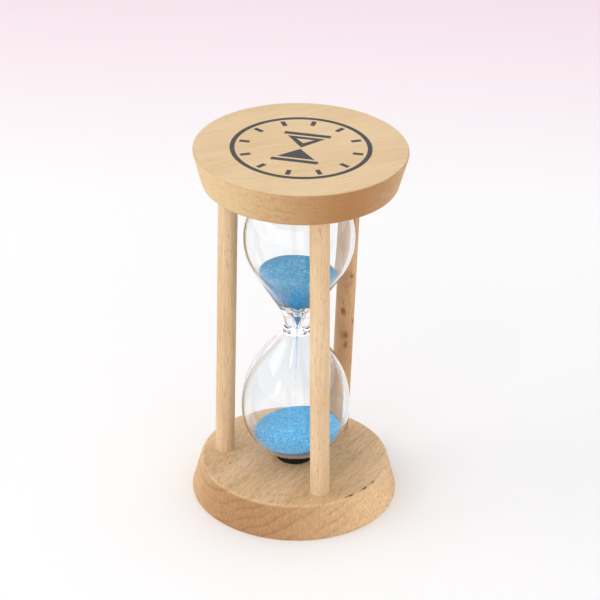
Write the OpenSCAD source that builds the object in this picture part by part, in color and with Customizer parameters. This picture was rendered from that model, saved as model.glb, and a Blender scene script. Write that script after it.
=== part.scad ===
// Three-minute sand timer: two turned beech discs, three glued dowels and a blown glass bulb
// that is held between two soft pads. Millimetres, +Z up. The origin is the centre of the
// face that the timer stands on.

/* [Discs] */
// Diameter of each disc at its outer face, the one that the timer stands on
disc_d = 55; // [44:0.5:70]
// How far the side of each disc slopes in from its outer face to its inner face
disc_slope = 2.5; // [0:0.1:4]
// Thickness of each disc
disc_t = 9.4; // [7.5:0.1:16]
// Rounding of both edges of a disc
edge_r = 0.8; // [0.3:0.1:2]
// Clear height between the two discs
clear_h = 82; // [68:0.5:120]

/* [Posts] */
// Diameter of each dowel
post_d = 5.1; // [3:0.1:6.5]
// Wood left between each dowel and the edge of the disc's inner face
post_margin = 3.4; // [1.5:0.1:4.5]
// Direction of the first dowel, seen from above
post_angle = -69; // [-180:1:180]
// How far each dowel goes into each disc
socket_depth = 5.6; // [3:0.1:6]
// Space for glue behind each end of a dowel
glue_gap = 0.4; // [0:0.1:0.8]
// Chamfer on both ends of a dowel
post_chamfer = 0.5; // [0.1:0.1:1]
// Turn of the top disc against the base, clockwise from above, which leans the dowels
top_turn = 5.8; // [0:0.2:9]

/* [Glass] */
// Clearance between the widest part of the glass and the dowels' feet
bulb_gap = 2.1; // [1.5:0.1:4]
// Wall of the bulbs
wall_t = 0.5; // [0.4:0.1:1.4]
// Straight belt round the widest part of each bulb
belt_h = 0.6; // [0.2:0.1:3]
// Outer diameter of the neck
neck_d = 7; // [5:0.1:9]
// Height of the neck below the middle of the glass
neck_drop = 0.5; // [-1.5:0.1:1.5]
// Radius that takes the lower bulb from its belt towards the neck, where the height allows it
lower_taper_r = 27; // [14:0.5:32]
// Radius that takes the upper bulb from its belt towards the neck, where the height allows it
upper_taper_r = 17; // [10:0.5:26]
// Hollow radius where the lower bulb meets the neck
lower_neck_r = 3.5; // [1.5:0.1:8]
// Hollow radius where the upper bulb meets the neck
upper_neck_r = 10; // [5:0.1:13]
// Radius of the rounded chamber end above the neck
upper_bowl_r = 7.7; // [6.5:0.1:8.5]
// Radius of the rounded chamber end below the neck
lower_bowl_r = 6.5; // [5.5:0.1:7.5]
// Widest diameter of the funnels that lead into the orifice
funnel_d = 3.6; // [2.5:0.1:4.5]
// Diameter of the orifice that meters the sand
orifice_d = 1.1; // [0.8:0.1:1.6]

/* [Pads] */
// Diameter of each foam pad
pad_d = 10; // [7:0.1:14]
// Thickness of each foam pad at its rim
pad_t = 1.5; // [1:0.1:2.5]
// How deep the glass presses into each pad
pad_sink = 0.5; // [0.2:0.1:0.7]
// Running gap between the glass and each pad
pad_gap = 0.1; // [0.05:0.01:0.2]

/* [Sand] */
// Height of the sand's rim in the upper bulb, above the middle of the neck
upper_sand_h = 14.8; // [9:0.1:20]
// Depth of the hollow in the middle of the upper sand
crater_h = 1.2; // [0.2:0.1:2]
// Diameter of that hollow
crater_d = 13; // [8:0.5:16]
// Height of the sand's rim in the lower bulb, above the lower end of the glass
lower_sand_h = 7; // [4:0.1:10]
// Height of the heap in the middle of the lower sand
heap_h = 0.8; // [0.2:0.1:2]
// Diameter of that heap
heap_d = 14; // [8:0.5:18]
// Clearance between the falling thread of sand and the orifice
stream_gap = 0.15; // [0.05:0.01:0.25]

/* [Printed mark] */
// Outer diameter of the printed ring
mark_d = 36; // [30:0.5:40]
// Width of the printed lines
mark_line = 1.2; // [0.8:0.1:1.6]
// Number of ticks inside the ring
mark_ticks = 12; // [3:1:16]
// Height of the hourglass figure in the ring
figure_h = 17; // [12:0.5:19]
// Width of the hourglass figure in the ring
figure_w = 12; // [8:0.5:14]
// Turn of the whole mark on the disc
mark_turn = -12; // [-180:1:180]
// Depth that the ink soaks into the wood
ink_t = 0.15; // [0.1:0.05:0.4]

/* [Hidden] */
$fn = 96;
POST_COUNT = 3;
GLASS_STEP = 5;             // largest turn between two points of a glass arc, in degrees
EDGE_STEP = 15;             // the same for the rounded edge of a disc
CUT = 1;                    // how far a cut runs past the face that it opens
CONE_MIN = 2;               // shortest straight cone between a bulb's taper and the neck
WIDE = disc_d;              // wider than anything inside the glass

total_h = 2 * disc_t + clear_h;
disc_inner_d = disc_d - 2 * disc_slope;
post_r = disc_inner_d / 2 - post_margin - post_d / 2;
glass_inset = pad_t - pad_sink + pad_gap;
glass_low = disc_t + glass_inset;
glass_h = clear_h - 2 * glass_inset;
lower_h = glass_h / 2 - neck_drop;
upper_h = glass_h / 2 + neck_drop;
neck_z = glass_low + lower_h;
bulb_r = post_r - post_d / 2 - bulb_gap;
belt_top = bulb_r + belt_h;
orifice_r = orifice_d / 2;
stream_d = orifice_d - 2 * stream_gap;
tick_len = 2.2 * mark_line;
tick_gap = 0.7 * mark_line;
bar_t = 1.2 * mark_line;

WOOD_LIGHT = "#e6c795";
WOOD_BASE = "#cfae83";
WOOD_POST = "#e0c096";
GLASS = [0.9, 0.95, 0.97, 0.35];
SAND = "#62b3e6";
FOAM = "#141414";
INK = "#4a4a4c";

// ---- Outline helpers ----

function mirrored(points, h) = [for (i = [len(points) - 1:-1:0]) [points[i].x, h - points[i].y]];

// Points on an arc about c from angle a0 to angle a1, no more than one step apart
function arc(c, r, a0, a1, step = GLASS_STEP) =
    let (steps = max(2, ceil(abs(a1 - a0) / step)))
    [for (i = [0:steps]) let (a = a0 + (a1 - a0) * i / steps) c + r * [cos(a), sin(a)]];

// ---- Discs ----

// A disc standing on its outer face, with both edges rounded
module disc_body() {
    low = [disc_d / 2 - edge_r, edge_r];
    high = [disc_inner_d / 2 - edge_r, disc_t - edge_r];
    side = atan2(low.x - high.x, high.y - low.y);
    rotate_extrude()
        polygon(concat([[0, 0]], arc(low, edge_r, -90, side, EDGE_STEP),
                       arc(high, edge_r, side, 90, EDGE_STEP), [[0, disc_t]]));
}

// ---- Dowels ----

function post_foot(i) =
    let (a = post_angle + i * 360 / POST_COUNT) [post_r * cos(a), post_r * sin(a), disc_t];
function post_head(i) =
    let (a = post_angle + i * 360 / POST_COUNT - top_turn) [post_r * cos(a), post_r * sin(a), disc_t + clear_h];
function post_span(i) = norm(post_head(i) - post_foot(i));

// Leans its children along dowel i, without spinning them, with zero at the base's inner face
module on_post(i) {
    d = post_head(i) - post_foot(i);
    way = atan2(d.y, d.x);
    translate(post_foot(i)) rotate([0, acos(d.z / norm(d)), way]) rotate(-way) children();
}

module dowel(i) {
    r = post_d / 2;
    c = post_chamfer;
    length = post_span(i) + 2 * socket_depth;
    color(WOOD_POST) on_post(i) translate([0, 0, -socket_depth])
        rotate_extrude()
            polygon([[0, 0], [r - c, 0], [r, c], [r, length - c], [r - c, length], [0, length]]);
}

// A disc with its blind holes, standing on its outer face as the base does
module drilled_disc() {
    deep = socket_depth + glue_gap;
    difference() {
        disc_body();
        for (i = [0:POST_COUNT - 1])
            on_post(i) translate([0, 0, -deep]) cylinder(d = post_d, h = deep + CUT);
    }
}

module base_disc() {
    color(WOOD_BASE) drilled_disc();
}

// The same disc turned over, so that its holes face the base's along each dowel
module top_disc() {
    color(WOOD_LIGHT) difference() {
        translate([0, 0, total_h]) rotate([180, 0, 0]) rotate(top_turn - 2 * post_angle) drilled_disc();
        translate([0, 0, total_h - ink_t]) linear_extrude(ink_t + CUT) mark_outline();
    }
}

// ---- Glass ----

// The taper radius, or the largest that leaves the shortest straight cone above the belt
function taper_fit(h, taper_r, neck_r) =
    let (d = [neck_d / 2 + neck_r - bulb_r, h - belt_top])
    min(taper_r, (d * d - neck_r * neck_r - CONE_MIN * CONE_MIN) / (2 * (neck_r - d.x)));

// Angle at which a bulb leaves its taper radius for the straight cone to the neck
function cone_angle(h, taper_r, neck_r) =
    let (d = [neck_d / 2 + neck_r - (bulb_r - taper_r), h - belt_top])
    atan2(d.y, d.x) - acos((taper_r + neck_r) / norm(d));

// Outside of one bulb from its round end, at height 0, to the middle of the neck, at height h
function bulb_outside(h, taper_r, neck_r) =
    let (a = cone_angle(h, taper_r, neck_r))
    concat(arc([0, bulb_r], bulb_r, -90, 0),
           arc([bulb_r - taper_r, belt_top], taper_r, 0, a),
           arc([neck_d / 2 + neck_r, h], neck_r, 180 + a, 180));

// Chamber inside one bulb, one wall in from its outside, down to the orifice at height h
function bulb_inside(h, taper_r, neck_r, bowl_r) =
    let (a = cone_angle(h, taper_r, neck_r),
         leave = [bulb_r - taper_r, belt_top] + (taper_r - wall_t) * [cos(a), sin(a)],
         bowl_z = leave.y - (bowl_r - leave.x * cos(a)) / sin(a),
         mouth_a = acos(funnel_d / 2 / bowl_r))
    concat(arc([0, bulb_r], bulb_r - wall_t, -90, 0),
           arc([bulb_r - taper_r, belt_top], taper_r - wall_t, 0, a),
           arc([0, bowl_z], bowl_r, a, mouth_a),
           [[orifice_r, h]]);

lower_taper = taper_fit(lower_h, lower_taper_r, lower_neck_r);
upper_taper = taper_fit(upper_h, upper_taper_r, upper_neck_r);

// The whole outline of the glass or of its chamber, from the two halves
module turned(lower, upper) {
    translate([0, 0, glass_low]) rotate_extrude() polygon(concat(lower, mirrored(upper, glass_h)));
}

module glass_outside() {
    turned(bulb_outside(lower_h, lower_taper, lower_neck_r),
           bulb_outside(upper_h, upper_taper, upper_neck_r));
}

module chamber() {
    turned(bulb_inside(lower_h, lower_taper, lower_neck_r, lower_bowl_r),
           bulb_inside(upper_h, upper_taper, upper_neck_r, upper_bowl_r));
}

module glass_bulb() {
    color(GLASS) difference() {
        glass_outside();
        chamber();
    }
}

// ---- Pads ----

// A foam pad on the base, dished to the round end of the glass
module pad_body() {
    color(FOAM) difference() {
        translate([0, 0, disc_t]) cylinder(d = pad_d, h = pad_t);
        translate([0, 0, glass_low + bulb_r]) sphere(r = bulb_r + pad_gap);
    }
}

module base_pad() {
    pad_body();
}

module top_pad() {
    translate([0, 0, total_h]) mirror([0, 0, 1]) pad_body();
}

// ---- Sand ----

upper_rim_z = neck_z + upper_sand_h;
lower_rim_z = glass_low + lower_sand_h;
heap_top = lower_rim_z + heap_h;

module sand_upper() {
    color(SAND) difference() {
        intersection() {
            chamber();
            translate([0, 0, neck_z]) cylinder(d = WIDE, h = upper_sand_h);
        }
        translate([0, 0, upper_rim_z - crater_h]) cylinder(d1 = 0, d2 = crater_d, h = crater_h);
    }
}

module sand_lower() {
    color(SAND) intersection() {
        chamber();
        union() {
            translate([0, 0, glass_low]) cylinder(d = WIDE, h = lower_sand_h);
            translate([0, 0, lower_rim_z]) cylinder(d1 = heap_d, d2 = stream_d, h = heap_h);
        }
    }
}

module sand_stream() {
    color(SAND) translate([0, 0, heap_top]) cylinder(d = stream_d, h = neck_z - heap_top);
}

// ---- Printed mark ----

module mark_ring() {
    difference() {
        circle(d = mark_d);
        circle(d = mark_d - 2 * mark_line);
    }
    for (i = [0:mark_ticks - 1])
        rotate(i * 360 / mark_ticks)
            translate([mark_d / 2 - mark_line - tick_gap - tick_len, -mark_line / 2])
                square([tick_len, mark_line]);
}

// An hourglass: two end bars, an open upper half and a filled lower half
module mark_figure() {
    half = figure_h / 2 - bar_t - tick_gap;
    side = figure_w / 2 - mark_line;
    for (end = [0, 1])
        mirror([0, end]) translate([-figure_w / 2, figure_h / 2 - bar_t]) square([figure_w, bar_t]);
    difference() {
        polygon([[-side, half], [side, half], [0, 0]]);
        polygon([[-side / 2, half - mark_line], [side / 2, half - mark_line], [0, half / 2 - mark_line / 2]]);
    }
    polygon([[-side, -half], [side, -half], [0, -tick_gap]]);
}

module mark_outline() {
    rotate(mark_turn) {
        mark_ring();
        mark_figure();
    }
}

module face_print() {
    color(INK) translate([0, 0, total_h - ink_t]) linear_extrude(ink_t) mark_outline();
}

base_disc();
top_disc();
dowel(0);  // post_front
dowel(1);  // post_right
dowel(2);  // post_left
glass_bulb();
base_pad();
top_pad();
sand_upper();
sand_lower();
sand_stream();
face_print();
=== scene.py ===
import math
import random

import bmesh
import bpy
from mathutils import Matrix, Vector, noise


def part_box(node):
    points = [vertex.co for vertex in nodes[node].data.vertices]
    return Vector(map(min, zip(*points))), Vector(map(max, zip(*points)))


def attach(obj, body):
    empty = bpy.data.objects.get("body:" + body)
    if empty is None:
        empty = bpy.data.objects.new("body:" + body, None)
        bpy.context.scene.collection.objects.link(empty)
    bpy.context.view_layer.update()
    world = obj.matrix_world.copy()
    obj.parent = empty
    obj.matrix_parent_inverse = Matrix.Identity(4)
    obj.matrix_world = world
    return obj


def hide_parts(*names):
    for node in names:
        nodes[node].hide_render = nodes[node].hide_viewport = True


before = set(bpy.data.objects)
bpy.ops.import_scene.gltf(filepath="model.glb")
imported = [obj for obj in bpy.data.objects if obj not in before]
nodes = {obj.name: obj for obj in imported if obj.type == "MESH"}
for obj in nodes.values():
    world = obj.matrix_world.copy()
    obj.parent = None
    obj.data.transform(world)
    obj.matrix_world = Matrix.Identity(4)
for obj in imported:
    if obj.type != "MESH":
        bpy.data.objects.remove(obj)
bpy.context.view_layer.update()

mm = 0.001
random.seed(3)
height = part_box("top_disc")[1].z / mm
print("frame loaded,", len(nodes), "CAD nodes")


def colour(text):
    # sRGB hex to Blender's linear RGBA
    parts = [int(text[i:i + 2], 16) / 255 for i in (1, 3, 5)]
    return [p / 12.92 if p <= 0.04045 else ((p + 0.055) / 1.055) ** 2.4 for p in parts] + [1.0]


def addNode(tree, kind, settings, output=None):
    # settings: a small first letter is a property, a capital or a number is an input, a socket is linked
    # and stops fill a colour ramp
    node = tree.nodes.new(kind)
    for key, value in settings.items():
        if key == "stops":
            setStops(node.color_ramp.elements, value)
        elif isinstance(key, str) and key[0].islower():
            setattr(node, key, value)
        elif isinstance(value, bpy.types.NodeSocket):
            tree.links.new(value, node.inputs[key])
        else:
            node.inputs[key].default_value = value
    return node if output is None else node.outputs[output]


def setStops(elements, stops):
    # stops of a colour ramp: position, then a grey value or a colour
    while len(elements) < len(stops):
        elements.new(0.5)
    for element, (place, value) in zip(elements, stops):
        element.position = place
        element.color = value if isinstance(value, list) else [value, value, value, 1.0]


def newMaterial(name, settings):
    material = bpy.data.materials.new(name)
    material.use_nodes = True
    tree = material.node_tree
    tree.nodes.clear()
    surface = addNode(tree, "ShaderNodeBsdfPrincipled", settings)
    addNode(tree, "ShaderNodeOutputMaterial", {"Surface": surface.outputs[0]})
    return material, tree, surface


def newPiece(name, bm, material, body, node):
    mesh = bpy.data.meshes.new(name)
    for face in bm.faces:
        face.smooth = True
    bm.to_mesh(mesh)
    bm.free()
    mesh.materials.append(material)
    piece = bpy.data.objects.new(name, mesh)
    bpy.context.scene.collection.objects.link(piece)
    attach(piece, body)
    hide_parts(node)
    return piece


def arc(centre, radius, start, end, steps):
    # points on an arc, start and end in degrees
    turns = [math.radians(start + (end - start) * i / steps) for i in range(steps + 1)]
    return [(centre[0] + radius * math.cos(a), centre[1] + radius * math.sin(a)) for a in turns]


def lathe(outline, segments, inwards=False):
    # spins an outline of (radius, height) in mm about the vertical axis
    bm = bmesh.new()
    points = [bm.verts.new((r * mm, 0, z * mm)) for r, z in outline]
    edges = [bm.edges.new(pair) for pair in zip(points, points[1:])]
    bmesh.ops.spin(bm, geom=points + edges, cent=(0, 0, 0), axis=(0, 0, 1), angle=math.tau,
                   steps=segments, use_merge=True)
    bmesh.ops.remove_doubles(bm, verts=bm.verts, dist=1e-7)
    bmesh.ops.recalc_face_normals(bm, faces=bm.faces)
    if inwards:
        bmesh.ops.reverse_faces(bm, faces=bm.faces)
    return bm


def keepFlats(piece):
    # flat faces stay flat beside their rounded edges
    piece.modifiers.new("flats", "WEIGHTED_NORMAL").keep_sharp = True


camera = {
    "distance": 662.6,      # mm, from the middle of the timer
    "elevation": 29.42,     # degrees above the horizon
    "pan": -0.056,
    "tilt": 0.495,
    "roll": 1.252,
    "lens": 152.2,
    "sensor": 36.0,
    "nearest": 10,          # mm, nothing closer is drawn
}


def placeCamera():
    data = bpy.data.cameras.new("camera")
    data.lens = camera["lens"]
    data.sensor_width = camera["sensor"]
    data.clip_start = camera["nearest"] * mm
    eye = bpy.data.objects.new("camera", data)
    bpy.context.scene.collection.objects.link(eye)
    up = math.radians(camera["elevation"])
    away = camera["distance"] * mm
    place = Vector((0, -away * math.cos(up), height / 2 * mm + away * math.sin(up)))
    turn = (Matrix.Rotation(math.radians(camera["pan"]), 4, "Z")
            @ Matrix.Rotation(math.pi / 2 - up + math.radians(camera["tilt"]), 4, "X")
            @ Matrix.Rotation(math.radians(camera["roll"]), 4, "Z"))
    eye.matrix_world = Matrix.Translation(place) @ turn
    bpy.context.scene.camera = eye


placeCamera()
print("camera placed")


# Beech, sanded and left raw: pale tan, with short dark ray flecks along the grain, growth rings
# and a side that turns from flank to end grain, its tones also painted light and shade.
# Sizes are in mm: along the grain, across it and up.
beechFigure = {
    "bendSize": (60, 14, 14), "bend": 4.5,          # how the growth rings wander
    "patchSize": (34, 9, 9), "ringPatchSize": (18, 6, 6),
    "fibreSize": (9, 0.35, 0.35), "streakSize": (16, 1.6, 0.7), "mottleSize": (0.5, 0.5, 2.0),
    "nick": "#2c1a0d", "knot": "#7d4a2a",
    "roughness": 0.62, "relief": 0.05, "reliefShare": 0.35,
}
beechBase = {
    "light": "#e0bd94", "warm": "#d4ae80", "ring": "#8b5f36", "fleck": "#704e2e",
    # end, flank: the side's tones, end grain darker than flank, with painted light: the flank is drawn pale
    # for the light on the upward leaning side
    "end": "#a57749", "flankPaintedLight": "#e3bc8c",
    "grain": 60, "ringCentre": (-26, -52), "ringGap": 2.7, "ringShare": 0.14, "endRings": 0.5,
    "fleckSize": (2.4, 0.17, 1.0), "fleckShare": 0.5, "fleckFrom": 0.56, "mottle": 0.1,
    "streaks": 0.1, "seed": (11, 5, 2),
}
beechTop = {
    "light": "#e1c498", "warm": "#dbbb8d", "ring": "#9c6e3e", "fleck": "#a98356",
    # end, flank: the side's tones, both painted light and shade: the flank is drawn dark for the shade on the
    # downward leaning side, the end grain pale where light falls
    "end": "#d3b788", "flankPaintedLight": "#a5713d",
    "grain": 27, "ringCentre": (9, 64), "ringGap": 2.2, "ringShare": 0.07, "endRings": 0.16,
    "fleckSize": (2.4, 0.2, 1.0), "fleckShare": 0.22, "fleckFrom": 0.6, "mottle": 0.04,
    "streaks": 0.6, "seed": (3, 17, 8),
}


def beech(name, look, upright=False):
    figure = beechFigure
    material, tree, surface = newMaterial(name, {"Roughness": figure["roughness"], "IOR": 1.5})
    turn = (0, math.radians(90), 0) if upright else (0, 0, math.radians(-look["grain"]))
    grain = addNode(tree, "ShaderNodeMapping", {
        "Vector": addNode(tree, "ShaderNodeTexCoord", {}, "Object"), "Scale": [1 / mm] * 3,
        "Rotation": turn, "Location": look["seed"]}, "Vector")

    def grainNoise(size, detail, offset):
        scaled = addNode(tree, "ShaderNodeMapping", {
            "Vector": grain, "Scale": [1 / s for s in size], "Location": [offset] * 3}, "Vector")
        return addNode(tree, "ShaderNodeTexNoise", {
            "Vector": scaled, "Scale": 1.0, "Detail": detail, "Roughness": 0.55}, "Fac")

    # painted on the vertices of each piece, and nought where a piece has none
    side, endGrain, chip, knot = [
        addNode(tree, "ShaderNodeAttribute", {"attribute_name": layer}, "Fac")
        for layer in ("side", "endGrain", "chip", "knot")]

    # growth rings: saw-toothed cylinders round the pith, bent by a slow noise
    bent = addNode(tree, "ShaderNodeVectorMath", {
        "operation": "MULTIPLY_ADD", 0: grainNoise(figure["bendSize"], 1.0, 0.0),
        1: (0, figure["bend"], figure["bend"]), 2: grain}, 0)
    centred = addNode(tree, "ShaderNodeVectorMath", {
        "operation": "ADD", 0: bent, 1: (0, look["ringCentre"][0], look["ringCentre"][1])}, 0)
    flat = addNode(tree, "ShaderNodeVectorMath", {"operation": "MULTIPLY", 0: centred, 1: (0, 1, 1)}, 0)
    rings = addNode(tree, "ShaderNodeTexWave", {
        "wave_type": "RINGS", "rings_direction": "SPHERICAL", "wave_profile": "SAW", "Vector": flat,
        "Scale": math.tau / 20 / look["ringGap"], "Distortion": 0.0}, "Fac")
    ringLine = addNode(tree, "ShaderNodeValToRGB", {
        "Fac": rings, "stops": [(0.0, 0.1), (0.3, 0.0), (0.7, 0.25), (0.93, 1.0), (1.0, 0.2)]}, "Color")
    ringPatch = addNode(tree, "ShaderNodeValToRGB", {
        "Fac": grainNoise(figure["ringPatchSize"], 1.0, 9.1), "stops": [(0.35, 0.15), (0.6, 1.0)]}, "Color")
    ringShare = addNode(tree, "ShaderNodeMath", {
        "operation": "MULTIPLY_ADD", 0: endGrain, 1: look["endRings"], 2: look["ringShare"]}, 0)
    ringShare = addNode(tree, "ShaderNodeMath", {"operation": "MULTIPLY", 0: ringShare, 1: ringPatch}, 0)
    ringShare = addNode(tree, "ShaderNodeMath", {"operation": "MULTIPLY", 0: ringShare, 1: ringLine}, 0)

    patch = addNode(tree, "ShaderNodeValToRGB", {
        "Fac": grainNoise(figure["patchSize"], 2.0, 4.9), "stops": [(0.35, 0.0), (0.65, 1.0)]}, "Color")
    # the side's tone: end grain against flank, with the painted light and shade that both tones hold
    flankPaintedLight = addNode(tree, "ShaderNodeMix", {
        "data_type": "RGBA", 6: colour(look["flankPaintedLight"]), 7: colour(look["end"]), 0: endGrain}, 2)
    fibres = grainNoise(figure["fibreSize"], 3.0, 2.1)
    fibreTone = addNode(tree, "ShaderNodeValToRGB", {
        "Fac": fibres, "stops": [(0.3, 0.9), (0.7, 1.06)]}, "Color")
    streaks = addNode(tree, "ShaderNodeValToRGB", {
        "Fac": grainNoise(figure["streakSize"], 2.0, 6.2), "stops": [(0.5, 0.0), (0.64, look["streaks"])]},
        "Color")
    flankOnly = addNode(tree, "ShaderNodeMath", {"operation": "SUBTRACT", 0: side, 1: endGrain}, 0)
    streakShare = addNode(tree, "ShaderNodeMath", {"operation": "MULTIPLY", 0: streaks, 1: flankOnly}, 0)
    mottle = addNode(tree, "ShaderNodeValToRGB", {
        "Fac": grainNoise(figure["mottleSize"], 2.0, 3.3),
        "stops": [(0.36, 1 - look["mottle"]), (0.64, 1 + look["mottle"])]}, "Color")
    flecks = addNode(tree, "ShaderNodeValToRGB", {
        "Fac": grainNoise(look["fleckSize"], 2.0, 7.3),
        "stops": [(look["fleckFrom"], 0.0), (look["fleckFrom"] + 0.06, 1.0)]}, "Color")
    fleckShare = addNode(tree, "ShaderNodeMath", {      # fewer on the side
        "operation": "MULTIPLY_ADD", 0: side, 1: -0.6 * look["fleckShare"], 2: look["fleckShare"]}, 0)
    fleckShare = addNode(tree, "ShaderNodeMath", {"operation": "MULTIPLY", 0: flecks, 1: fleckShare}, 0)

    tone = colour(look["light"])
    ringTone = colour(look["ring"])
    for layer, share, blend in (
            (colour(look["warm"]), patch, "MIX"), (flankPaintedLight, side, "MIX"), (ringTone, ringShare, "MIX"),
            (fibreTone, 1.0, "MULTIPLY"), (ringTone, streakShare, "MIX"), (mottle, side, "MULTIPLY"),
            (colour(look["fleck"]), fleckShare, "MIX"), (colour(figure["nick"]), chip, "MIX"),
            (colour(figure["knot"]), knot, "MIX")):
        tone = addNode(tree, "ShaderNodeMix", {
            "data_type": "RGBA", "blend_type": blend, 6: tone, 7: layer, 0: share}, 2)
    tree.links.new(tone, surface.inputs["Base Color"])
    halfFibres = addNode(tree, "ShaderNodeMath", {"operation": "MULTIPLY", 0: fibres, 1: 0.5}, 0)
    relief = addNode(tree, "ShaderNodeMath", {"operation": "SUBTRACT", 0: halfFibres, 1: flecks}, 0)
    bump = addNode(tree, "ShaderNodeBump", {
        "Strength": figure["reliefShare"], "Distance": figure["relief"] * mm, "Height": relief}, 0)
    tree.links.new(bump, surface.inputs["Normal"])
    return material


discs = {
    "segments": 480,
    "slope": 2.5,           # mm from the wide face's radius to the narrow one's
    "edge": 0.72, "edgeSteps": 8,           # rounding of both edges
    "rows": 5,              # extra loops up the side
    "insets": (0.12, 0.12, 0.2, 0.35, 0.6),      # rings of faces inside each flat
    # nicks in the base's upper edge: direction in degrees, length and width in mm
    "nicks": ((-55.4, 1.2, 0.26), (-52.4, 2.2, 0.34), (-41.8, 0.8, 0.22), (-39.8, 1.9, 0.32),
              (-31.4, 1.6, 0.28)),
    "nickDepth": 0.2, "nickIn": 0.62, "nickShade": 0.9, "nickSpread": 2.5,
    "sideFrom": 0.35, "sideOver": 0.5,      # lean of a face at which the side's look starts, and its blend
    "endPower": 1.5,        # how fast end grain gives way to flank
    "inkProud": 0.03,       # mm that the top disc lies under the ink
}


def turnedDisc(name, node, look, material, turnedOver=False, nicks=()):
    # made standing on its wide face, as the base stands
    low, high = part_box(node)
    wide = (high.x - low.x) / 2
    thick = high.z - low.z
    narrow = wide - discs["slope"] * mm
    bm = bmesh.new()
    bmesh.ops.create_circle(bm, cap_ends=True, segments=discs["segments"], radius=wide)
    grown = bmesh.ops.extrude_face_region(bm, geom=bm.faces[:])["geom"]
    upper = [v for v in grown if isinstance(v, bmesh.types.BMVert)]
    bmesh.ops.scale(bm, vec=(narrow / wide, narrow / wide, 1), verts=upper)
    bmesh.ops.translate(bm, vec=(0, 0, thick), verts=upper)
    rims = [e for e in bm.edges if abs(e.verts[0].co.z - e.verts[1].co.z) < 1e-6]
    bmesh.ops.bevel(bm, geom=rims, offset=discs["edge"] * mm, offset_type="OFFSET",
                    segments=discs["edgeSteps"], profile=0.5, affect="EDGES", material=-1)
    sides = [e for e in bm.edges if abs(e.verts[0].co.z - e.verts[1].co.z) > thick / 2]
    bmesh.ops.subdivide_edges(bm, edges=sides, cuts=discs["rows"], use_grid_fill=True)
    bmesh.ops.recalc_face_normals(bm, faces=bm.faces)
    for width in discs["insets"]:
        caps = [f for f in bm.faces if len(f.verts) > 4]
        bmesh.ops.inset_individual(bm, faces=caps, thickness=width * mm, use_even_offset=True)
    bm.normal_update()
    layers = {key: bm.verts.layers.float.new(key) for key in ("side", "endGrain", "chip")}
    along = Vector((math.cos(math.radians(look["grain"])), math.sin(math.radians(look["grain"])), 0))
    if turnedOver:
        along.y = -along.y
    for v in bm.verts:
        flat = v.normal.xy.length
        v[layers["side"]] = min(1.0, max(0.0, (flat - discs["sideFrom"]) / discs["sideOver"]))
        v[layers["endGrain"]] = min(1.0, abs(v.normal.dot(along)) ** discs["endPower"])
    for turn, long, across in nicks:
        way = Vector((math.cos(math.radians(turn)), math.sin(math.radians(turn)), 0))
        spot = way * (narrow - discs["nickIn"] * mm) + Vector((0, 0, thick))
        for v in bm.verts:
            gap = (v.co - spot) / mm
            reach = gap.dot(way.cross(Vector((0, 0, 1)))) / long * 2
            near = 1 - math.hypot(reach, gap.dot(way) / across, gap.z / across)
            if near > 0:
                v[layers["chip"]] = min(1.0, near * discs["nickSpread"]) * discs["nickShade"]
                v.co -= (way + Vector((0, 0, 1))) * near * discs["nickDepth"] * mm
    if turnedOver:
        bmesh.ops.rotate(bm, cent=(0, 0, 0), matrix=Matrix.Rotation(math.pi, 3, "X"), verts=bm.verts)
        bmesh.ops.translate(bm, vec=(0, 0, high.z - discs["inkProud"] * mm), verts=bm.verts)
    keepFlats(newPiece(name, bm, material, "frame", node))


baseWood = beech("beech_base", beechBase)
topWood = beech("beech_top", beechTop)
turnedDisc("turned_base", "base_disc", beechBase, baseWood, nicks=discs["nicks"])
turnedDisc("turned_top", "top_disc", beechTop, topWood, turnedOver=True)
print("discs turned")


dowels = {
    "segments": 96, "rings": 90, "chamfer": 0.5,
    "wander": 0.02, "waves": (150, 150, 60), "waveShift": 900,      # unevenness in mm, waves per metre
    "knotShade": 0.9, "knotSpread": 2, "knotLong": 0.7, "knotWaver": 0.5, "knotWaves": 1500,
    # brown pin knots on the dowel behind: height, turn from the front in degrees, size
    "knots": ((47.2, -12, 1.0), (39.9, 8, 0.9), (37.0, 14, 0.8), (58.0, 30, 0.7), (44.0, 60, 0.6)),
}
beechPosts = {
    "light": "#dabd96", "warm": "#cfad84", "ring": "#b58b5e", "fleck": "#967046",
    "end": "#b98555", "flankPaintedLight": "#dec19a",
    "grain": 0, "ringCentre": (19, 12), "ringGap": 1.5, "ringShare": 0.26, "endRings": 0.0,
    "fleckSize": (2.2, 0.13, 0.4), "fleckShare": 0.36, "fleckFrom": 0.585, "mottle": 0.0,
    "streaks": 0.0, "seed": (7, 1, 4),
}
beechBack = dict(beechPosts, light="#cda475", warm="#b4855a", ring="#96673d", fleck="#70492b",
                 fleckShare=0.5, seed=(2, 9, 6))


def dowelEnds(node):
    # middle of each end of a dowel, from the CAD node's own corners
    corners = {tuple(round(c, 7) for c in v.co) for v in nodes[node].data.vertices}
    middle = sum(c[2] for c in corners) / len(corners)
    halves = [[Vector(c) for c in corners if (c[2] > middle) == upper] for upper in (False, True)]
    return [sum(half, Vector()) / len(half) for half in halves]


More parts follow.
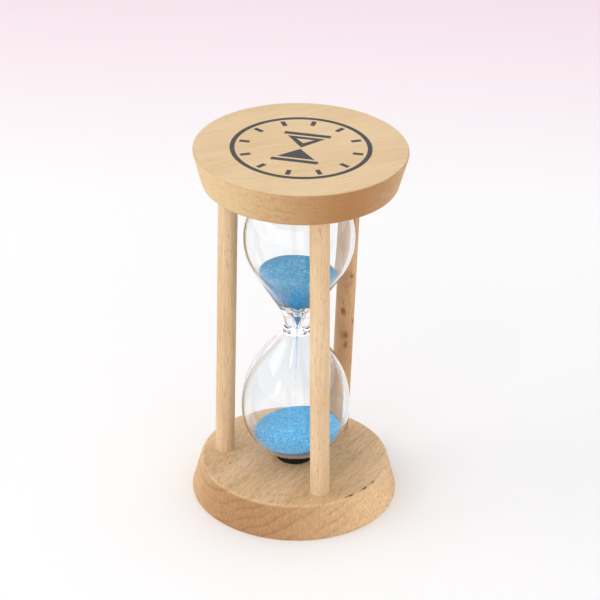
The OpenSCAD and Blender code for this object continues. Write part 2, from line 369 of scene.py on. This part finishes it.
def dowel(name, node, material, knots=()):
    foot, head = dowelEnds(node)
    axis = (head - foot).normalized()
    low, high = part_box(node)
    reach = (high.z - low.z) / axis.z
    radius = (high.x - low.x - abs(head.x - foot.x)) / 2
    length = (head - foot).length + dowels["chamfer"] * mm
    bm = bmesh.new()
    bmesh.ops.create_cone(bm, cap_ends=True, segments=dowels["segments"], radius1=radius,
                          radius2=radius, depth=length)
    sides = [e for e in bm.edges if abs(e.verts[0].co.z - e.verts[1].co.z) > length / 2]
    rims = [e for e in bm.edges if e not in sides]
    bmesh.ops.bevel(bm, geom=rims, offset=dowels["chamfer"] * mm, segments=1, profile=0.5,
                    affect="EDGES", material=-1)
    sides = [e for e in bm.edges if abs(e.verts[0].co.z - e.verts[1].co.z) > length / 2]
    bmesh.ops.subdivide_edges(bm, edges=sides, cuts=dowels["rings"], use_grid_fill=True)
    waves = Vector(dowels["waves"])
    for v in bm.verts:
        sway = noise.noise(v.co * waves + Vector((0, 0, foot.x * dowels["waveShift"])))
        v.co.xy *= 1 + sway * dowels["wander"] * mm / radius
    bmesh.ops.transform(bm, matrix=axis.to_track_quat("Z", "Y").to_matrix().to_4x4(), verts=bm.verts)
    bmesh.ops.translate(bm, vec=(foot + head) / 2, verts=bm.verts)
    bmesh.ops.recalc_face_normals(bm, faces=bm.faces)
    knotLayer = bm.verts.layers.float.new("knot")
    for up, turn, size in knots:
        middle = foot.lerp(head, (up * mm - foot.z) / (head.z - foot.z))
        way = Matrix.Rotation(math.radians(turn), 3, "Z") @ Vector((0, -1, 0))
        for v in bm.verts:
            gap = (v.co - middle - way * radius) / mm / size
            waver = 1 + dowels["knotWaver"] * noise.noise(v.co * dowels["knotWaves"])
            near = 1 - math.hypot(gap.x, gap.y, gap.z * dowels["knotLong"]) * waver
            shade = min(1.0, max(0.0, near * dowels["knotSpread"])) * dowels["knotShade"]
            v[knotLayer] = max(v[knotLayer], shade)
    keepFlats(newPiece(name, bm, material, "frame", node))


postWood = beech("beech_dowel", beechPosts, upright=True)
backWood = beech("beech_dowel_back", beechBack, upright=True)
dowel("dowel_front", "post_front", postWood)
dowel("dowel_left", "post_left", postWood)
dowel("dowel_back", "post_right", backWood, dowels["knots"])
print("dowels made")


glass = {
    "wall": 0.5, "belt": 0.6, "neck": 3.5, "neckDrop": 0.5,
    "lowerTaper": 27.0, "upperTaper": 17.0, "lowerNeck": 3.5, "upperNeck": 10.0,
    "upperBowl": 7.7, "lowerBowl": 6.5, "funnel": 1.8, "orifice": 0.55,
    "segments": 160, "endSteps": 40, "taperSteps": 24, "neckSteps": 14, "bowlSteps": 10,
    "waver": 0.035, "waves": (110, 110, 70),        # unevenness of the inner wall in mm, waves per metre
}
glassLow, glassHigh = [corner.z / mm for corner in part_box("glass_bulb")]
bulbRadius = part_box("glass_bulb")[1].x / mm
glassHeight = glassHigh - glassLow
lowerHeight = glassHeight / 2 - glass["neckDrop"]
upperHeight = glassHeight / 2 + glass["neckDrop"]
neckZ = glassLow + lowerHeight
beltTop = bulbRadius + glass["belt"]


def coneAngle(high, taper, hollow):
    # degrees at which a bulb leaves its taper for the straight cone to the neck
    across = glass["neck"] + hollow - (bulbRadius - taper)
    up = high - beltTop
    return math.degrees(math.atan2(up, across) - math.acos((taper + hollow) / math.hypot(across, up)))


def bulbOutside(high, taper, hollow):
    # from a bulb's round end to the middle of the neck
    lean = coneAngle(high, taper, hollow)
    return (arc((0, bulbRadius), bulbRadius, -90, 0, glass["endSteps"])
            + arc((bulbRadius - taper, beltTop), taper, 0, lean, glass["taperSteps"])
            + arc((glass["neck"] + hollow, high), hollow, 180 + lean, 180, glass["neckSteps"]))


def bulbInside(high, taper, hollow, bowl, gap=0.0):
    # the chamber's outline, or the sand's, which lies a gap inside it
    wall = glass["wall"] + gap
    lean = coneAngle(high, taper, hollow)
    turn = math.radians(lean)
    leaveR = bulbRadius - taper + (taper - wall) * math.cos(turn)
    leaveZ = beltTop + (taper - wall) * math.sin(turn)
    bowlZ = leaveZ - (bowl - gap - leaveR * math.cos(turn)) / math.sin(turn)
    mouth = math.degrees(math.acos(glass["funnel"] / bowl))
    return (arc((0, bulbRadius), bulbRadius - wall, -90, 0, glass["endSteps"])
            + arc((bulbRadius - taper, beltTop), taper - wall, 0, lean, glass["taperSteps"])
            + arc((0, bowlZ), bowl - gap, lean, mouth, glass["bowlSteps"])
            + [(glass["orifice"] - gap, high)])


def wholeBulb(lower, upper):
    # joins the lower half's outline to the upper half's, turned over
    return [(r, glassLow + z) for r, z in lower] + [(r, glassHigh - z) for r, z in reversed(upper)][1:]


def flameShaped(bm):
    # blown glass is never quite even, so the wall wavers slowly
    for v in bm.verts:
        sway = noise.noise(v.co * Vector(glass["waves"]))
        away = math.hypot(v.co.x, v.co.y) / (bulbRadius * mm)
        v.co.xy *= 1 + sway * glass["waver"] / bulbRadius * away


def blownGlass():
    outer = lathe(wholeBulb(bulbOutside(lowerHeight, glass["lowerTaper"], glass["lowerNeck"]),
                            bulbOutside(upperHeight, glass["upperTaper"], glass["upperNeck"])),
                  glass["segments"])
    inner = lathe(wholeBulb(
        bulbInside(lowerHeight, glass["lowerTaper"], glass["lowerNeck"], glass["lowerBowl"]),
        bulbInside(upperHeight, glass["upperTaper"], glass["upperNeck"], glass["upperBowl"])),
        glass["segments"], inwards=True)
    flameShaped(inner)
    wall = bpy.data.meshes.new("chamber")
    inner.to_mesh(wall)
    inner.free()
    outer.from_mesh(wall)
    bpy.data.meshes.remove(wall)

    # Borosilicate glass, lamp blown: clear, IOR 1.47, mirror smooth
    material, tree, surface = newMaterial("borosilicate_glass", {
        "Base Color": colour("#fafbfb"), "Roughness": 0.0, "IOR": 1.47, "Transmission Weight": 1.0})
    clear = addNode(tree, "ShaderNodeBsdfTransparent", {"Color": colour("#f4f8f8")}, 0)
    lit = addNode(tree, "ShaderNodeMixShader", {        # lamps shine straight through
        "Fac": addNode(tree, "ShaderNodeLightPath", {}, "Is Shadow Ray"), 1: surface.outputs[0], 2: clear}, 0)
    tree.links.new(lit, tree.nodes["Material Output"].inputs["Surface"])
    newPiece("blown_bulb", outer, material, "bulb", "glass_bulb")


blownGlass()
print("glass blown")


pads = {
    "radius": 5.0, "edge": 0.3, "gap": 0.1,         # mm, the gap is under the glass
    "segments": 96, "edgeSteps": 4, "dishSteps": 12,
    "cell": 0.25, "relief": 0.05,           # mm
}


def foamPad(name, node, turnedOver, material):
    low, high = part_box(node)
    base = (high.z if turnedOver else low.z) / mm
    thick = (high.z - low.z) / mm
    outer, edge = pads["radius"], pads["edge"]
    ball = bulbRadius + pads["gap"]
    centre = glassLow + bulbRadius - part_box("base_pad")[0].z / mm       # of the bulb's round end
    tilt = math.degrees(math.acos((centre - thick) / ball))
    outline = ([(0, 0)] + arc((outer - edge, edge), edge, -90, 0, pads["edgeSteps"])
               + arc((outer - edge, thick - edge), edge, 0, 90, pads["edgeSteps"])
               + arc((0, centre), ball, tilt - 90, -90, pads["dishSteps"]))
    up = -1 if turnedOver else 1
    bm = lathe([(r, base + up * z) for r, z in outline], pads["segments"])
    newPiece(name, bm, material, "frame", node)


def foam():
    # Closed-cell EVA foam: dull black with fine cells
    material, tree, surface = newMaterial("eva_foam", {
        "Roughness": 0.85, "IOR": 1.49, "Specular IOR Level": 0.3})
    cells = addNode(tree, "ShaderNodeTexVoronoi", {
        "Vector": addNode(tree, "ShaderNodeTexCoord", {}, "Object"), "Scale": 1 / (pads["cell"] * mm)},
        "Distance")
    tone = addNode(tree, "ShaderNodeValToRGB", {
        "Fac": cells, "stops": [(0.0, colour("#040405")), (0.8, colour("#0c0c0d"))]}, "Color")
    tree.links.new(tone, surface.inputs["Base Color"])
    bump = addNode(tree, "ShaderNodeBump", {
        "Strength": 0.5, "Distance": pads["relief"] * mm, "Height": cells}, 0)
    tree.links.new(bump, surface.inputs["Normal"])
    return material


padFoam = foam()
foamPad("foam_pad_low", "base_pad", False, padFoam)
foamPad("foam_pad_high", "top_pad", True, padFoam)
print("pads cut")


sand = {
    "gap": 0.03,            # mm between the glass and the sand
    "segments": 220, "rings": 56,
    "upperRim": 14.8, "crater": 1.2, "craterR": 6.5, "upperTilt": -0.03,
    "lowerRim": 7.0, "heap": 0.8, "heapR": 7.0, "lowerTilt": 0.09, "slopePower": 1.3,
    "swell": 0.10, "swells": 350, "rough": 0.09, "roughs": 4000,        # mm, and waves per metre
    "nearWall": 0.05, "rimBand": 0.2, "rimReach": 3,        # mm
    "holdPower": 4,         # how fast the wall's hold on the sand fades inwards
    "grain": 0.24,          # mm, size of a grain, coarse enough to show
    "drift": 3,             # mm, size of the slow changes of shade
    "grains": [(0.0, "#0f86cc"), (0.3, "#2dadea"), (0.8, "#55c5fb"), (1.0, "#b6e6fd")],
    # painted shade: the deeper blue drawn on sand against the glass wall, and its share
    "pressed": "#0f6ba8", "wallShadeShare": 0.7,
    "threadR": 0.14, "threadSpread": 0.006, "threadLimit": 0.35,        # mm, and mm for each mm fallen
    "threadStep": (0.03, 0.08), "threadThins": 3.5, "threadEnd": 0.2,
    "threadSizes": (0.7, 1.1),              # of a grain's own size
}


def sandMaterial():
    # Dyed quartz sand, light blue: dull grains of slightly different blues, a few of them glittering
    material, tree, surface = newMaterial("dyed_quartz_sand", {
        "Roughness": 0.7, "IOR": 1.54, "Specular IOR Level": 0.25})
    place = addNode(tree, "ShaderNodeTexCoord", {}, "Object")
    grains = addNode(tree, "ShaderNodeTexVoronoi", {"Vector": place, "Scale": 1 / (sand["grain"] * mm)})
    shade = addNode(tree, "ShaderNodeSeparateColor", {"Color": grains.outputs["Color"]})
    tone = addNode(tree, "ShaderNodeValToRGB", {
        "Fac": shade.outputs[0], "stops": [(at, colour(text)) for at, text in sand["grains"]]}, "Color")
    drift = addNode(tree, "ShaderNodeTexNoise", {
        "Vector": place, "Scale": 1 / (sand["drift"] * mm), "Detail": 2.0}, "Fac")
    driftTone = addNode(tree, "ShaderNodeValToRGB", {
        "Fac": drift, "stops": [(0.3, 0.9), (0.7, 1.05)]}, "Color")
    tone = addNode(tree, "ShaderNodeMix", {
        "data_type": "RGBA", "blend_type": "MULTIPLY", 6: tone, 7: driftTone, 0: 1.0}, 2)
    # painted shade: sand against the glass wall is drawn a deeper blue, for the shade on the sand's sides
    pressed = addNode(tree, "ShaderNodeAttribute", {"attribute_name": "pressed"}, "Fac")
    wallShadeShare = addNode(tree, "ShaderNodeMath", {
        "operation": "MULTIPLY", 0: pressed, 1: sand["wallShadeShare"]}, 0)
    tone = addNode(tree, "ShaderNodeMix", {
        "data_type": "RGBA", 6: tone, 7: colour(sand["pressed"]), 0: wallShadeShare}, 2)
    tree.links.new(tone, surface.inputs["Base Color"])
    gloss = addNode(tree, "ShaderNodeValToRGB", {
        "Fac": shade.outputs[1], "stops": [(0.0, 0.75), (0.88, 0.6), (0.97, 0.22)]}, "Color")
    tree.links.new(gloss, surface.inputs["Roughness"])
    bump = addNode(tree, "ShaderNodeBump", {
        "Strength": 0.7, "Distance": sand["grain"] / 2 * mm, "Height": grains.outputs["Distance"]}, 0)
    tree.links.new(bump, surface.inputs["Normal"])
    return material


def wallAt(wallOutline, z):
    # radius of the chamber wall at a height, from its outline
    for (r0, z0), (r1, z1) in zip(wallOutline, wallOutline[1:]):
        if min(z0, z1) <= z <= max(z0, z1) and z0 != z1:
            return r0 + (r1 - r0) * (z - z0) / (z1 - z0)
    return wallOutline[-1][0]


def sandFill(name, node, wallOutline, bottom, rim, middle, middleR, tilt, material):
    # a fill of sand: the wall up to the rim, then the surface in to the middle, which dips or heaps
    tiny = 0.01                 # mm
    wall = [(r, z) for r, z in wallOutline if bottom < z < rim]
    rimR = wallAt(wallOutline, rim)
    surface = []
    for i in range(1, sand["rings"] + 1):
        r = rimR * (1 - i / sand["rings"])
        surface.append((r, rim + middle * max(0.0, 1 - r / middleR) ** sand["slopePower"]))
    outline = [(0, bottom), (wallAt(wallOutline, bottom), bottom)] + wall + [(rimR, rim)] + surface
    bm = lathe(outline, sand["segments"])
    # painted shade: sand against the wall, below a band under the rim, is marked to be drawn deeper blue
    pressed = bm.verts.layers.float.new("pressed")
    for v in bm.verts:
        x, y, z = v.co / mm
        r = math.hypot(x, y)
        onWall = r > wallAt(wallOutline, z) - sand["nearWall"] and z <= rim + tiny
        v[pressed] = 1.0 if onWall and z < rim - sand["rimBand"] else 0.0
        share = max(0.0, (z - bottom) / (rim - bottom))
        if not onWall:
            z += sand["swell"] * noise.noise(v.co * sand["swells"])
            z += sand["rough"] * noise.noise(v.co * sand["roughs"])
        newZ = z + tilt * x * share
        if r > tiny:
            # follows the wall where the tilt lifts or drops it, less and less towards the middle
            newWall = wallAt(wallOutline, min(newZ, rim + sand["rimReach"]))
            scale = newWall / max(wallAt(wallOutline, min(z, rim)), tiny)
            hold = 1 if onWall else (r / rimR) ** sand["holdPower"]
            x, y = x * (1 + (scale - 1) * hold), y * (1 + (scale - 1) * hold)
        v.co = Vector((x, y, newZ)) * mm
    newPiece(name, bm, material, "bulb", node)


gap = sand["gap"]
lowerWall = [(r, glassLow + z) for r, z in bulbInside(
    lowerHeight, glass["lowerTaper"], glass["lowerNeck"], glass["lowerBowl"], gap)]
upperWall = [(r, glassHigh - z) for r, z in reversed(bulbInside(
    upperHeight, glass["upperTaper"], glass["upperNeck"], glass["upperBowl"], gap))]
blueSand = sandMaterial()
sandFill("sand_above", "sand_upper", upperWall, neckZ, neckZ + sand["upperRim"],
         -sand["crater"], sand["craterR"], sand["upperTilt"], blueSand)
sandFill("sand_below", "sand_lower", lowerWall, glassLow + glass["wall"] + gap, glassLow + sand["lowerRim"],
         sand["heap"], sand["heapR"], sand["lowerTilt"], blueSand)


def fallingSand():
    # the thread: single grains, close together in the neck and scattered below it
    low, high = [corner.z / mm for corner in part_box("sand_stream")]
    bm = bmesh.new()
    z = high
    while z > low + sand["threadEnd"]:
        fallen = high - z
        spread = sand["threadR"] + sand["threadSpread"] * fallen
        place = Vector((random.gauss(0, spread), random.gauss(0, spread), z))
        if place.xy.length < sand["threadLimit"]:
            size = sand["grain"] / 2 * random.uniform(*sand["threadSizes"]) * mm
            bmesh.ops.create_icosphere(bm, subdivisions=1, radius=size,
                                       matrix=Matrix.Translation(place * mm))
        z -= random.uniform(*sand["threadStep"]) * (1 + fallen / sand["threadThins"])
    newPiece("falling_grains", bm, blueSand, "bulb", "sand_stream")


fallingSand()
print("sand poured")


# Stamped ink, matt charcoal, a little worn so that the wood's fibres break it up
inkLook = {
    "tones": [(0.0, "#2f2f33"), (0.6, "#3d3c40"), (0.74, "#6e6254")],
    "wearSize": (2.2, 0.3, 1.0),            # mm along the grain, across it and up
}


def printInk():
    material, tree, surface = newMaterial("stamped_ink", {"Roughness": 0.7, "IOR": 1.5})
    grain = addNode(tree, "ShaderNodeMapping", {
        "Vector": addNode(tree, "ShaderNodeTexCoord", {}, "Object"),
        "Scale": [1 / mm / size for size in inkLook["wearSize"]],
        "Rotation": (0, 0, math.radians(-beechTop["grain"]))}, "Vector")
    wear = addNode(tree, "ShaderNodeTexNoise", {"Vector": grain, "Scale": 1.0, "Detail": 3.0}, "Fac")
    tone = addNode(tree, "ShaderNodeValToRGB", {
        "Fac": wear, "stops": [(at, colour(text)) for at, text in inkLook["tones"]]}, "Color")
    tree.links.new(tone, surface.inputs["Base Color"])
    return material


inkNode = nodes["face_print"]
ink = printInk()
if inkNode.data.materials:
    for i in range(len(inkNode.data.materials)):
        inkNode.data.materials[i] = ink
else:
    inkNode.data.materials.append(ink)
print("mark printed")


studio = {
    "floorSize": 8000,      # mm
    "near": "#f9f8f8", "far": "#f3dbe4", "farFrom": 170, "farTo": 380,
    "cloud": 333,           # mm, size of the faint clouds on the floor
    # brightness of the surround by sine of elevation: a bright wall round a dimmer ceiling
    "surround": ((0.0, 0.96), (0.5, 0.9), (1.0, 0.12)), "surroundPower": 1.66, "surroundTint": "#fdfdff",
    # azimuth and elevation in degrees, distance and sizes in mm, power in watts
    "lamps": {
        "wallLeft": {"azimuth": 188, "elevation": 38, "distance": 800, "size": (500, 500), "power": 1.0,
                     "tint": "#fffaf2"},
        "stripLeft": {"azimuth": 194, "elevation": 34, "distance": 800, "size": (34, 330), "power": 0.13,
                      "tint": "#ffffff"},
        "stripFront": {"azimuth": 246, "elevation": 50, "distance": 800, "size": (26, 220), "power": 0.22,
                       "tint": "#ffffff"},
        "window": {"azimuth": 226, "elevation": 14, "distance": 800, "size": (110, 190), "power": 0.4,
                   "tint": "#ffffff"},
    },
}


def floorMaterial():
    # Smooth painted board: almost white near by, faintly pink far behind
    material, tree, surface = newMaterial("painted_board", {"Roughness": 0.9})
    place = addNode(tree, "ShaderNodeTexCoord", {}, "Object")
    behind = addNode(tree, "ShaderNodeSeparateXYZ", {"Vector": place}, "Y")
    far = addNode(tree, "ShaderNodeMapRange", {
        0: behind, 1: studio["farFrom"] * mm, 2: studio["farTo"] * mm}, 0)
    cloud = addNode(tree, "ShaderNodeTexNoise", {
        "Vector": place, "Scale": 1 / (studio["cloud"] * mm), "Detail": 1.0}, "Fac")
    cloudTone = addNode(tree, "ShaderNodeValToRGB", {
        "Fac": cloud, "stops": [(0.3, 0.98), (0.7, 1.0)]}, "Color")
    tone = addNode(tree, "ShaderNodeMix", {
        "data_type": "RGBA", 6: colour(studio["near"]), 7: colour(studio["far"]), 0: far}, 2)
    tone = addNode(tree, "ShaderNodeMix", {
        "data_type": "RGBA", "blend_type": "MULTIPLY", 6: tone, 7: cloudTone, 0: 1.0}, 2)
    tree.links.new(tone, surface.inputs["Base Color"])
    return material


def buildFloor():
    bm = bmesh.new()
    bmesh.ops.create_grid(bm, x_segments=1, y_segments=1, size=studio["floorSize"] / 2 * mm)
    mesh = bpy.data.meshes.new("floor")
    bm.to_mesh(mesh)
    bm.free()
    mesh.materials.append(floorMaterial())
    floor = bpy.data.objects.new("floor", mesh)
    bpy.context.scene.collection.objects.link(floor)


def lightStudio():
    world = bpy.data.worlds.new("studio")
    bpy.context.scene.world = world
    world.use_nodes = True
    tree = world.node_tree
    sky = tree.nodes["Background"]
    way = addNode(tree, "ShaderNodeTexCoord", {}, "Generated")
    up = addNode(tree, "ShaderNodeSeparateXYZ", {"Vector": way}, "Z")
    glow = addNode(tree, "ShaderNodeValToRGB", {"Fac": up, "stops": studio["surround"]}, "Color")
    tone = addNode(tree, "ShaderNodeMix", {
        "data_type": "RGBA", "blend_type": "MULTIPLY", 6: glow, 7: colour(studio["surroundTint"]), 0: 1.0}, 2)
    tree.links.new(tone, sky.inputs["Color"])
    sky.inputs["Strength"].default_value = studio["surroundPower"]
    for name, look in studio["lamps"].items():
        data = bpy.data.lights.new(name, "AREA")
        data.shape = "RECTANGLE"
        data.size, data.size_y = [side * mm for side in look["size"]]
        data.energy = look["power"]
        data.color = colour(look["tint"])[:3]
        lamp = bpy.data.objects.new(name, data)
        turn, up = math.radians(look["azimuth"]), math.radians(look["elevation"])
        way = Vector((math.cos(turn) * math.cos(up), math.sin(turn) * math.cos(up), math.sin(up)))
        place = Vector((0, 0, height / 2 * mm)) + way * look["distance"] * mm
        lamp.matrix_world = Matrix.Translation(place) @ way.to_track_quat("Z", "Y").to_matrix().to_4x4()
        bpy.context.scene.collection.objects.link(lamp)
    bpy.context.scene.view_settings.view_transform = "Standard"


buildFloor()
lightStudio()
print("studio lit")
